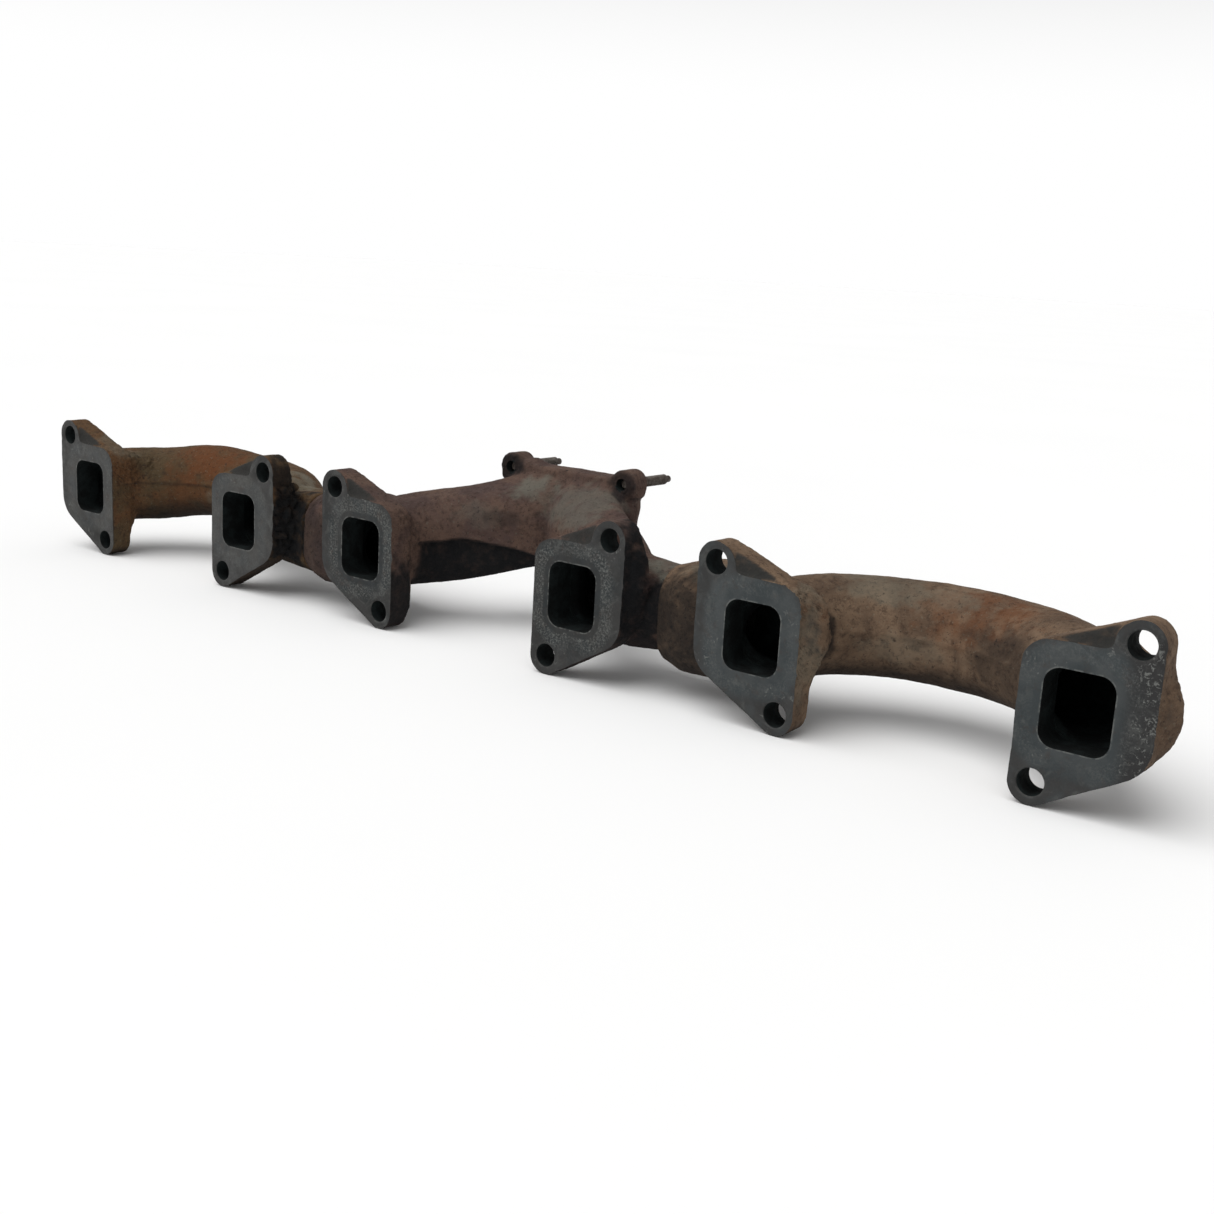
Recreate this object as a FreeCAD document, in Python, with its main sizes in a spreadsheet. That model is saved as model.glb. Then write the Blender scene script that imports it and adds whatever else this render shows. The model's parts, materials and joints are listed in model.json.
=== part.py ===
import FreeCAD, Part
import math
import os
from types import SimpleNamespace

import Sketcher
from FreeCAD import Placement, Rotation, Vector

# Exhaust manifold of an in-line six cylinder diesel, cast in three sections that slip into each other.
# It is laid out from the cylinder head: X runs along the engine from the middle of the manifold,
# Y leaves the gasket faces (Y = 0) and Z is up from the port centres. Every finished piece is then
# moved so that the origin is the centre of the turbocharger studs on the turbocharger flange's face.

SIZES = [
    ("pitch_wide", 141.6, "between two ports joined by an arch"),
    ("pitch_narrow", 98.4, "between two ports joined by a slip joint"),
    ("flange_thick", 13.0, "port flange, gasket face to back"),
    ("pad_rise", 1.5, "machined pad above the cast flange"),
    ("pad_half", 25.0, "half height of the machined pad"),
    ("high_bolt_side", 20.3, "upper bolt from the port centre, sideways"),
    ("low_bolt_side", 14.2, "lower bolt from the port centre, sideways"),
    ("high_bolt_rise", 29.6, "upper bolt above the port centre"),
    ("low_bolt_drop", 30.6, "lower bolt below the port centre"),
    ("bolt_radius", 5.5, "head bolt hole"),
    ("lobe_radius", 9.0, "rounding of the flange about a bolt"),
    ("blunt_radius", 15.5, "large flange corner under the upper bolt"),
    ("blunt_side", 13.5, "centre of that corner, sideways"),
    ("blunt_drop", 7.6, "centre of that corner, down"),
    ("sharp_radius", 9.5, "small flange corner over the lower bolt"),
    ("sharp_side", 13.5, "centre of that corner, sideways"),
    ("sharp_rise", 15.3, "centre of that corner, up"),
    ("web_reach", 15.0, "web behind the flange"),
    ("web_side", 11.0, "web's far end, on the side of the lower bolt"),
    ("web_wide", 17.0, "web's far end, on the side of the upper bolt"),
    ("web_top", 18.5, "top of the web's far end"),
    ("web_drop", 8.0, "bottom of the web's far end"),
    ("web_corner", 7.0, "corner of the web's far end"),
    ("port_half_width", 13.75, "port opening"),
    ("port_half_height", 15.5, "port opening"),
    ("port_corner", 6.5, "port opening"),
    ("port_depth", 20.0, "straight stretch of the port"),
    ("tube_radius", 22.3, "outside of the arched tube"),
    ("bore_radius", 16.0, "inside of the arched tube"),
    ("outer_bend", 30.0, "bend radius of an arch at the outermost port"),
    ("inner_bend", 50.0, "bend radius of an arch at the port beside the slip joint"),
    ("crown_bend", 92.0, "bend radius at the crown of an arch"),
    ("arch_tilt", 2.3, "rise of an arch from the flange, in degrees"),
    ("joint_out", 35.0, "slip joint axis from the gasket face"),
    ("joint_drop", 4.0, "slip joint axis below the port centres"),
    ("mouth_side", 40.0, "socket mouth from the port on its left"),
    ("seam_gap", 1.5, "cold gap between the shoulder and the socket mouth"),
    ("neck_radius", 20.0, "neck behind the spigot"),
    ("collar_half", 22.3, "half size of the front neck, flush with the socket's mouth"),
    ("root_radius", 22.5, "neck where it leaves the runner"),
    ("root_side", 12.0, "start of the neck from the port, sideways"),
    ("spigot_radius", 19.0, "spigot"),
    ("spigot_length", 24.0, "spigot inside the socket"),
    ("gas_radius", 14.0, "gas way through the spigot"),
    ("socket_radius", 19.5, "bore of the socket"),
    ("socket_depth", 28.0, "depth of the socket"),
    ("mouth_half", 22.5, "half size of the socket's mouth"),
    ("socket_half", 25.0, "half size of the socket"),
    ("socket_corner", 15.0, "corner of the socket"),
    ("socket_taper", 11.0, "taper behind the socket's mouth"),
    ("socket_body", 20.0, "straight stretch of the socket"),
    ("groove_floor", 16.9, "radius at the bottom of a ring groove"),
    ("groove_width", 3.1, "ring groove"),
    ("groove_first", 8.0, "first groove behind the socket's mouth"),
    ("groove_pitch", 8.0, "between the grooves"),
    ("ring_outer", 19.45, "seal ring"),
    ("ring_inner", 16.98, "seal ring"),
    ("ring_width", 1.5, "seal ring"),
    ("ring_split", 0.8, "gap in the seal ring"),
    ("face_out", 89.0, "turbocharger flange face from the gasket faces"),
    ("plate_thick", 12.0, "turbocharger flange"),
    ("plate_half_width", 39.0, "turbocharger flange"),
    ("plate_half_height", 27.2, "turbocharger flange"),
    ("plate_rise", 17.0, "centre of the turbocharger flange above the ports"),
    ("ear_radius", 7.5, "ear about a turbocharger stud"),
    ("stud_half_x", 37.5, "turbocharger studs"),
    ("stud_half_z", 24.5, "turbocharger studs"),
    ("stud_radius", 3.0, "tapped end of a turbocharger stud"),
    ("stud_nut_radius", 2.7, "nut end of a turbocharger stud"),
    ("stud_out", 29.0, "turbocharger stud beyond the flange face"),
    ("stud_in", 9.0, "turbocharger stud inside the flange"),
    ("stud_chamfer", 0.8, "turbocharger stud"),
    ("duct_half_width", 11.0, "gas outlet"),
    ("duct_half_height", 19.0, "gas outlet"),
    ("duct_corner", 7.0, "gas outlet"),
    ("duct_side", 14.0, "gas outlet from the middle"),
    ("runner_wall", 5.0, "wall of the twin runners, above and below"),
    ("runner_side_wall", 8.0, "wall of the twin runners, measured along the engine"),
]

# Twin runners, from a middle port to the turbocharger flange: at each distance from the gasket face,
# the side towards the middle and the far side (both from the middle), the bottom, the top, the corner.
RUNNER = [
    ("begin", 13.0, 49.0, 92.0, -21.5, 21.5, 20.5),
    ("bend", 32.0, 47.0, 93.5, -22.0, 24.0, 19.0),
    ("climb", 50.0, 24.0, 78.0, -17.0, 28.5, 18.0),
    ("meet", 67.0, -1.5, 53.0, -8.5, 34.5, 16.0),
    ("end", 78.0, -3.0, 35.0, -8.0, 40.5, 10.0),
]
RUNNER_SIZES = ("out", "near", "far", "low", "high", "corner")

doc = FreeCAD.newDocument("exhaust_manifold")
sheet = doc.addObject("Spreadsheet::Sheet", "Dims")


class Size:
    """A number together with the sheet formula that it came from."""

    def __init__(self, value, formula):
        self.value = value
        self.formula = formula

    def __add__(self, other):
        other = as_size(other)
        return Size(self.value + other.value, f"({self.formula} + {other.formula})")

    def __sub__(self, other):
        other = as_size(other)
        return Size(self.value - other.value, f"({self.formula} - {other.formula})")

    def __mul__(self, factor):
        return Size(self.value * factor, f"({factor:g} * {self.formula})")

    def __neg__(self):
        return self * -1


def as_size(number):
    return number if isinstance(number, Size) else Size(float(number), f"({number:g})")


def fill_sheet():
    """Write every driving size to the sheet and hand them back by name."""
    rows = list(SIZES)
    for station, *values in RUNNER:
        rows += [(f"{station}_{size}", value, "runner section") for size, value in zip(RUNNER_SIZES, values)]
    for row, (alias, value, meaning) in enumerate(rows, start=1):
        sheet.set(f"A{row}", meaning)
        sheet.set(f"B{row}", str(value))
        sheet.setAlias(f"B{row}", alias)
    doc.recompute()
    return SimpleNamespace(**{alias: Size(float(sheet.get(alias)), f"Dims.{alias}") for alias, _, _ in rows})


d = fill_sheet()

# Directions that sketches and cylinders are turned to.
ACROSS_Y = Rotation(Vector(1, 0, 0), 90)
ACROSS_X = Rotation(Vector(1, 1, 1), 120)
ALONG = {"X": Rotation(Vector(0, 1, 0), 90), "Y": Rotation(Vector(1, 0, 0), -90), "Z": Rotation()}
AXIS = {"X": Vector(1, 0, 0), "Y": Vector(0, 1, 0), "Z": Vector(0, 0, 1)}

PORT_NEAR = d.pitch_wide * 0.5
PORT_MID = PORT_NEAR + d.pitch_narrow
PORT_FAR = PORT_MID + d.pitch_wide
JOINT_Z = -d.joint_drop
# Socket mouths of the two slip joints: the socket is always on the right of its joint.
FRONT_MOUTH = d.mouth_side - PORT_MID
REAR_MOUTH = PORT_NEAR + d.mouth_side


# ---------------------------------------------------------------- helpers

def add(kind, name, **sizes):
    """Add an object with its sizes tied to the sheet."""
    item = doc.addObject(kind, name)
    for prop, size in sizes.items():
        item.setExpression(prop, as_size(size).formula)
    return item


def place(item, x=0, y=0, z=0, turn=Rotation()):
    """Put an object at a place that follows the sheet."""
    item.Placement = Placement(Vector(as_size(x).value, as_size(y).value, as_size(z).value), turn)
    for axis, size in zip("xyz", (x, y, z)):
        item.setExpression(f"Placement.Base.{axis}", as_size(size).formula)
    return item


def cylinder(name, axis, at, radius, length):
    return place(add("Part::Cylinder", name, Radius=radius, Height=length), *at, turn=ALONG[axis])


def fused(name, shapes):
    item = doc.addObject("Part::MultiFuse", name)
    item.Shapes = shapes
    return item


def cut(name, base, tool):
    item = doc.addObject("Part::Cut", name)
    item.Base = base
    item.Tool = tool
    return item


def common(name, base, tool):
    item = doc.addObject("Part::Common", name)
    item.Base = base
    item.Tool = tool
    return item


def extruded(name, sketch, axis, length):
    item = add("Part::Extrusion", name, LengthFwd=length)
    item.Base = sketch
    item.DirMode = "Custom"
    item.Dir = AXIS[axis]
    item.Solid = True
    return item


def lofted(name, sections):
    item = doc.addObject("Part::Loft", name)
    item.Sections = sections
    item.Solid = True
    item.Ruled = len(sections) == 2
    return item


def tangent_line(here, there):
    """Ends of the outer tangent from one corner circle to the next, going anticlockwise."""
    (x1, y1, r1), (x2, y2, r2) = here, there
    length = math.hypot(x2 - x1, y2 - y1)
    along = ((x2 - x1) / length, (y2 - y1) / length)
    lean = (r1 - r2) / length
    square = math.sqrt(1 - lean * lean)
    out = (along[1] * square + along[0] * lean, along[1] * lean - along[0] * square)
    return Vector(x1 + r1 * out[0], y1 + r1 * out[1], 0), Vector(x2 + r2 * out[0], y2 + r2 * out[1], 0)


def angle_about(centre, point):
    return math.atan2(point.y - centre[1], point.x - centre[0])


def belt_sketch(name, circles):
    """A closed outline drawn round corner circles (x, y, radius), listed anticlockwise."""
    sketch = doc.addObject("Sketcher::SketchObject", name)
    count = len(circles)
    places = [tuple(as_size(size).value for size in circle) for circle in circles]
    lines = [tangent_line(places[i], places[(i + 1) % count]) for i in range(count)]
    for start, end in lines:
        sketch.addGeometry(Part.LineSegment(start, end))
    for i, (x, y, radius) in enumerate(places):
        first = angle_about((x, y), lines[i - 1][1])
        last = angle_about((x, y), lines[i][0])
        if last <= first:
            last += 2 * math.pi
        sketch.addGeometry(Part.ArcOfCircle(Part.Circle(Vector(x, y, 0), Vector(0, 0, 1), radius), first, last))
    for i, (x, y, radius) in enumerate(places):
        arc = count + i
        sketch.addConstraint(Sketcher.Constraint("Tangent", (i - 1) % count, 2, arc, 1))
        sketch.addConstraint(Sketcher.Constraint("Tangent", arc, 2, i, 1))
        sized = [("DistanceX", (-1, 1, arc, 3, x)), ("DistanceY", (-1, 1, arc, 3, y)), ("Radius", (arc, radius))]
        for (kind, arguments), size in zip(sized, circles[i]):
            index = sketch.addConstraint(Sketcher.Constraint(kind, *arguments))
            sketch.renameConstraint(index, f"{kind}_{i}")
            sketch.setExpression(f"Constraints.{kind}_{i}", as_size(size).formula)
    return sketch


def box_sketch(name, left, right, low, high, corner):
    """A rounded rectangle between four sides."""
    corners = [(left + corner, low + corner), (right - corner, low + corner),
               (right - corner, high - corner), (left + corner, high - corner)]
    return belt_sketch(name, [(x, y, corner) for x, y in corners])


# ---------------------------------------------------------------- port flanges

def flange_sketch(name, port, hand, out):
    """Flange outline at one distance from the head; hand is the side of its upper bolt."""
    circles = [(d.high_bolt_side, d.high_bolt_rise, d.lobe_radius), (-d.sharp_side, d.sharp_rise, d.sharp_radius),
               (-d.low_bolt_side, -d.low_bolt_drop, d.lobe_radius), (d.blunt_side, -d.blunt_drop, d.blunt_radius)]
    if hand < 0:
        circles = [(-x, y, radius) for x, y, radius in reversed(circles)]
    return place(belt_sketch(name, circles), port, out, 0, turn=ACROSS_Y)


def bolt_places(port, hand):
    return [(port + d.high_bolt_side * hand, d.high_bolt_rise), (port - d.low_bolt_side * hand, -d.low_bolt_drop)]


def port_flange(name, port, hand):
    """Cast flange, the machined pad that stands off it and the web that runs back to the tube."""
    plate = extruded(f"{name}_plate", flange_sketch(f"{name}_outline", port, hand, d.pad_rise), "Y",
                     d.flange_thick - d.pad_rise)
    face = extruded(f"{name}_face", flange_sketch(f"{name}_face_outline", port, hand, 0), "Y", d.pad_rise + 1)
    band = add("Part::Box", f"{name}_band", Length=d.pad_half * 4, Width=d.pad_rise + 1, Height=d.pad_half * 2)
    place(band, port - d.pad_half * 2, 0, -d.pad_half)
    discs = [cylinder(f"{name}_disc", "Y", (x, 0, z), d.lobe_radius, d.pad_rise + 1)
             for x, z in bolt_places(port, hand)]
    left, right = (-d.web_side, d.web_wide) if hand > 0 else (-d.web_wide, d.web_side)
    far_end = box_sketch(f"{name}_web_end", left, right, -d.web_drop, d.web_top, d.web_corner)
    place(far_end, port, d.flange_thick + d.web_reach, 0, turn=ACROSS_Y)
    web = lofted(f"{name}_web", [flange_sketch(f"{name}_web_root", port, hand, d.flange_thick - 1), far_end])
    return [plate, common(f"{name}_pad", face, band), web] + discs


def port_hollows(name, port, hand):
    """Bolt holes with room for the bolt heads, and the port itself."""
    hollows = []
    for x, z in bolt_places(port, hand):
        hollows.append(cylinder(f"{name}_bolt_hole", "Y", (x, -1, z), d.bolt_radius, d.flange_thick * 2))
        hollows.append(cylinder(f"{name}_bolt_seat", "Y", (x, d.flange_thick, z), d.lobe_radius, d.flange_thick))
    opening = box_sketch(f"{name}_opening", -d.port_half_width, d.port_half_width,
                         -d.port_half_height, d.port_half_height, d.port_corner)
    place(opening, port, -1, 0, turn=ACROSS_Y)
    return hollows + [extruded(f"{name}_way", opening, "Y", d.port_depth)]


# ---------------------------------------------------------------- arches and slip joints

def triangle_angle(beside, base, facing):
    """Angle between two sides of a triangle, beside and base, that faces its third side."""
    cosine = (beside.value ** 2 + base.value ** 2 - facing.value ** 2) / (2 * beside.value * base.value)
    squares = f"{beside.formula}^2 + {base.formula}^2 - {facing.formula}^2"
    return Size(math.degrees(math.acos(cosine)), f"acos(({squares}) / (2 * {beside.formula} * {base.formula}))")


def arch(name, left, left_bend, right_bend, radius):
    """Tube that bows away from the head: a tight bend at each port and a wide crown, all tangent."""
    left_arm = d.crown_bend - left_bend
    right_arm = d.crown_bend - right_bend
    base = d.pitch_wide - left_bend - right_bend
    left_lean = triangle_angle(left_arm, base, right_arm)
    right_lean = triangle_angle(right_arm, base, left_arm)
    lean = math.radians(left_lean.value)
    crown_x = left_bend + Size(left_arm.value * math.cos(lean), f"({left_arm.formula} * cos({left_lean.formula}))")
    crown_y = Size(-left_arm.value * math.sin(lean), f"(-{left_arm.formula} * sin({left_lean.formula}))")
    bends = [
        (left_bend, 0, left_bend, 180 - left_lean.value, left_lean),
        (crown_x, crown_y, d.crown_bend, right_lean.value, Size(180.0, "180 deg") - left_lean - right_lean),
        (d.pitch_wide - right_bend, 0, right_bend, 0, right_lean),
    ]
    pieces = []
    for x, y, bend, turned, sweep in bends:
        piece = add("Part::Torus", f"{name}_bend", Radius1=bend, Radius2=radius, Angle3=sweep)
        pieces.append(place(piece, x, y, 0, turn=Rotation(Vector(0, 0, 1), turned)))
    tilt = Rotation(Vector(1, 0, 0), d.arch_tilt.value)
    return place(fused(name, pieces), left, d.flange_thick, 0, turn=tilt)


def joint_section(name, x, half):
    """Rounded square about the axis of the slip joints."""
    sketch = box_sketch(f"{name}_joint", -half, half, -half, half, d.socket_corner)
    return place(sketch, x, d.joint_out, JOINT_Z, turn=ACROSS_X)


def spigot(name, port, mouth):
    """Neck from a port's tube to the shoulder, then the spigot that enters the socket."""
    shoulder = mouth - d.seam_gap
    start = port + d.root_side
    flare = place(add("Part::Cone", f"{name}_root", Radius1=d.root_radius, Radius2=d.neck_radius,
                      Height=shoulder - start), start, d.joint_out, JOINT_Z, turn=ALONG["X"])
    neck = cylinder(f"{name}_neck", "X", (port, d.joint_out, JOINT_Z), d.neck_radius, shoulder - port)
    pin = cylinder(f"{name}_pin", "X", (shoulder - 1, d.joint_out, JOINT_Z), d.spigot_radius,
                   d.spigot_length + d.seam_gap + 1)
    return [flare, neck, pin]


def groove_places(mouth):
    return [mouth + d.groove_first + d.groove_pitch * i for i in range(2)]


def spigot_hollows(name, port, mouth):
    """Gas way through the spigot, and its two ring grooves."""
    way = cylinder(f"{name}_gas_way", "X", (port, d.joint_out, JOINT_Z), d.gas_radius,
                   mouth - port + d.spigot_length + 1)
    grooves = []
    for x in groove_places(mouth):
        rim = cylinder(f"{name}_groove_rim", "X", (x, d.joint_out, JOINT_Z), d.socket_radius, d.groove_width)
        floor = cylinder(f"{name}_groove_floor", "X", (x - 1, d.joint_out, JOINT_Z), d.groove_floor,
                         d.groove_width + 2)
        grooves.append(cut(f"{name}_groove", rim, floor))
    return [way] + grooves


def socket(name, mouth, port):
    """Squarish socket, tapered at its mouth, that runs into the tube behind the port on its right."""
    taper_end = mouth + d.socket_taper
    taper = lofted(f"{name}_taper", [joint_section(name, mouth, d.mouth_half),
                                     joint_section(name, taper_end, d.socket_half)])
    body = extruded(f"{name}_body", joint_section(name, taper_end, d.socket_half), "X", d.socket_body)
    tail = lofted(f"{name}_tail", [joint_section(name, taper_end + d.socket_body, d.socket_half),
                                   joint_section(name, port, d.neck_radius)])
    return [taper, body, tail]


def socket_hollows(name, mouth, port):
    bore = cylinder(f"{name}_bore", "X", (mouth - 1, d.joint_out, JOINT_Z), d.socket_radius, d.socket_depth + 1)
    way = cylinder(f"{name}_gas_way", "X", (mouth, d.joint_out, JOINT_Z), d.gas_radius, port - mouth)
    return [bore, way]


# ---------------------------------------------------------------- castings

def casting(label, solids, hollows):
    """One cast section, with its origin moved to the turbocharger flange."""
    body = cut(label, fused(f"{label}_solids", solids), fused(f"{label}_hollows", hollows))
    body.Label = label
    return place(body, 0, -d.face_out, -d.plate_rise)


def front_section():
    solids = port_flange("port_1", -PORT_FAR, -1) + port_flange("port_2", -PORT_MID, 1)
    solids.append(arch("front_arch", -PORT_FAR, d.outer_bend, d.inner_bend, d.tube_radius))
    solids += spigot("front", -PORT_MID, FRONT_MOUTH)
    solids.append(lofted("front_collar", [joint_section("front_collar", -PORT_MID, d.neck_radius),
                                          joint_section("front_collar", FRONT_MOUTH - d.seam_gap, d.collar_half)]))
    hollows = port_hollows("port_1", -PORT_FAR, -1) + port_hollows("port_2", -PORT_MID, 1)
    hollows.append(arch("front_arch_bore", -PORT_FAR, d.outer_bend, d.inner_bend, d.bore_radius))
    hollows += spigot_hollows("front", -PORT_MID, FRONT_MOUTH)
    return casting("front_section", solids, hollows)


def rear_section():
    solids = port_flange("port_5", PORT_MID, -1) + port_flange("port_6", PORT_FAR, 1)
    solids.append(arch("rear_arch", PORT_MID, d.inner_bend, d.outer_bend, d.tube_radius))
    solids += socket("rear", REAR_MOUTH, PORT_MID)
    hollows = port_hollows("port_5", PORT_MID, -1) + port_hollows("port_6", PORT_FAR, 1)
    hollows.append(arch("rear_arch_bore", PORT_MID, d.inner_bend, d.outer_bend, d.bore_radius))
    hollows += socket_hollows("rear", REAR_MOUTH, PORT_MID)
    return casting("rear_section", solids, hollows)


def runner_sections(name, side, wall, side_wall):
    """Rounded sections of one runner, less the walls round its gas way."""
    sections = []
    for station, *_ in RUNNER:
        out, near, far, low, high, corner = (getattr(d, f"{station}_{size}") for size in RUNNER_SIZES)
        left, right = (near, far) if side > 0 else (-far, -near)
        sketch = box_sketch(f"{name}_{station}", left + side_wall, right - side_wall, low + wall, high - wall,
                            corner - side_wall)
        sections.append(place(sketch, 0, out, 0, turn=ACROSS_Y))
    return sections


def runner_way(name, side):
    """Gas way of one runner, ending in its half of the divided outlet."""
    sections = runner_sections(name, side, d.runner_wall, d.runner_side_wall)[:-1]
    middle = d.duct_side * side
    for out in (d.end_out, d.face_out + 1):
        sketch = box_sketch(f"{name}_outlet", middle - d.duct_half_width, middle + d.duct_half_width,
                            d.plate_rise - d.duct_half_height, d.plate_rise + d.duct_half_height, d.duct_corner)
        sections.append(place(sketch, 0, out, 0, turn=ACROSS_Y))
    return lofted(name, sections)


def turbo_corners():
    return [(d.stud_half_x * sx, d.plate_rise + d.stud_half_z * sz) for sx in (-1, 1) for sz in (-1, 1)]


def turbo_flange():
    back = d.face_out - d.plate_thick
    plate = add("Part::Box", "turbo_plate", Length=d.plate_half_width * 2, Width=d.plate_thick,
                Height=d.plate_half_height * 2)
    place(plate, -d.plate_half_width, back, d.plate_rise - d.plate_half_height)
    ears = [cylinder("turbo_ear", "Y", (x, back, z), d.ear_radius, d.plate_thick) for x, z in turbo_corners()]
    return [plate] + ears


def centre_section():
    solids = port_flange("port_3", -PORT_NEAR, -1) + port_flange("port_4", PORT_NEAR, 1)
    solids += [lofted(name, runner_sections(name, side, as_size(0), as_size(0)))
               for name, side in (("left_runner", -1), ("right_runner", 1))]
    solids += turbo_flange()
    solids += socket("centre", FRONT_MOUTH, -PORT_NEAR)
    solids += spigot("centre", PORT_NEAR, REAR_MOUTH)
    hollows = port_hollows("port_3", -PORT_NEAR, -1) + port_hollows("port_4", PORT_NEAR, 1)
    hollows += [runner_way("left_way", -1), runner_way("right_way", 1)]
    hollows += [cylinder("stud_hole", "Y", (x, d.face_out - d.plate_thick - 1, z), d.stud_radius, d.plate_thick + 2)
                for x, z in turbo_corners()]
    hollows += socket_hollows("centre", FRONT_MOUTH, -PORT_NEAR)
    hollows += spigot_hollows("centre", PORT_NEAR, REAR_MOUTH)
    return casting("centre_section", solids, hollows)


# ---------------------------------------------------------------- rings and studs

def body_plane(body, role):
    return next(plane for plane in body.Origin.OriginFeatures if plane.Role == role)


def body_sketch(body, name, role):
    sketch = body.newObject("Sketcher::SketchObject", name)
    sketch.AttachmentSupport = [(body_plane(body, role), "")]
    sketch.MapMode = "FlatFace"
    return sketch


def add_circle(sketch, radius):
    """A circle about the sketch's origin, its radius tied to the sheet."""
    index = sketch.addGeometry(Part.Circle(Vector(0, 0, 0), Vector(0, 0, 1), radius.value))
    sketch.addConstraint(Sketcher.Constraint("Coincident", index, 3, -1, 1))
    constraint = sketch.addConstraint(Sketcher.Constraint("Radius", index, radius.value))
    sketch.renameConstraint(constraint, f"radius_{index}")
    sketch.setExpression(f"Constraints.radius_{index}", radius.formula)


def seal_ring(label, at, turned):
    """Split ring of rectangular section; turned is where its gap stands, about the joint's axis."""
    body = doc.addObject("PartDesign::Body", label)
    body.Label = label
    section = body_sketch(body, f"{label}_section", "YZ_Plane")
    add_circle(section, d.ring_outer)
    add_circle(section, d.ring_inner)
    pad = body.newObject("PartDesign::Pad", f"{label}_pad")
    pad.Profile = section
    pad.setExpression("Length", d.ring_width.formula)
    doc.recompute()
    gap = body.newObject("PartDesign::SubtractiveBox", f"{label}_gap")
    gap.setExpression("Length", (d.ring_width * 3).formula)
    gap.setExpression("Width", d.ring_split.formula)
    gap.setExpression("Height", (d.ring_outer + 1).formula)
    gap.Placement = Placement(Vector(-d.ring_width.value, -d.ring_split.value / 2, 0), Rotation())
    body.Tip = gap
    return place(body, at, d.joint_out - d.face_out, JOINT_Z - d.plate_rise,
                 turn=Rotation(Vector(1, 0, 0), turned))


def ring_set(name, mouth):
    """Two rings side by side in each groove, with their gaps on opposite sides."""
    side_play = (d.groove_width - d.ring_width * 2) * 0.5
    rings = []
    for groove, start in enumerate(groove_places(mouth)):
        for pair in range(2):
            turned = 90 * groove + 180 * pair
            at = start + side_play + d.ring_width * pair
            rings.append(seal_ring(f"{name}_seal_ring_{2 * groove + pair + 1}", at, turned))
    return rings


def turbo_stud(label, x, z):
    """Stud screwed into an ear from the face side, thinner beyond the face and chamfered at its tip."""
    body = doc.addObject("PartDesign::Body", label)
    body.Label = label
    for end, radius, length in (("tapped", d.stud_radius, d.stud_in),
                                ("nut", d.stud_nut_radius, d.stud_out + d.stud_in)):
        section = body_sketch(body, f"{label}_{end}_section", "XZ_Plane")
        add_circle(section, radius)
        pad = body.newObject("PartDesign::Pad", f"{label}_{end}_pad")
        pad.Profile = section
        pad.Reversed = True
        pad.setExpression("Length", length.formula)
    doc.recompute()
    tip = [f"Edge{i}" for i, edge in enumerate(pad.Shape.Edges, start=1)
           if edge.Closed and edge.BoundBox.YMin > d.stud_out.value]
    chamfer = body.newObject("PartDesign::Chamfer", f"{label}_chamfer")
    chamfer.Base = (pad, tip)
    chamfer.setExpression("Size", d.stud_chamfer.formula)
    body.Tip = chamfer
    return place(body, x, -d.stud_in, z - d.plate_rise)


def turbo_studs():
    names = ["front_lower", "front_upper", "rear_lower", "rear_upper"]
    return [turbo_stud(f"turbo_stud_{name}", x, z) for name, (x, z) in zip(names, turbo_corners())]


# ---------------------------------------------------------------- assembly

nodes = [front_section(), centre_section(), rear_section()]
nodes += ring_set("front", FRONT_MOUTH) + ring_set("rear", REAR_MOUTH) + turbo_studs()
doc.recompute()

faults = [item.Label for item in doc.Objects if {"Invalid", "Error"} & set(item.State)]
faults += [node.Label for node in nodes if node.Shape.isNull() or not node.Shape.isValid()]
if faults:
    raise RuntimeError(f"these objects failed: {faults}")

os.makedirs("parts", exist_ok=True)
for node in nodes:
    box = node.Shape.BoundBox
    print(f"{node.Label:26s} solids {len(node.Shape.Solids)} volume {node.Shape.Volume / 1000:8.2f} cm3"
          f"  x {box.XMin:8.2f} {box.XMax:8.2f}  y {box.YMin:7.2f} {box.YMax:7.2f}  z {box.ZMin:7.2f} {box.ZMax:7.2f}")
    node.Shape.exportStep(f"parts/{node.Label}.step")
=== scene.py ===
"""Cast iron exhaust manifold: rough castings, machined faces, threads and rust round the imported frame.

Lengths are in metres, in the row frame: +X along the engine, +Y away from the cylinder head, +Z up.
"""

import json
import math

import bmesh
import bpy
import numpy as np
from mathutils import Matrix, Vector, noise


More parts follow.
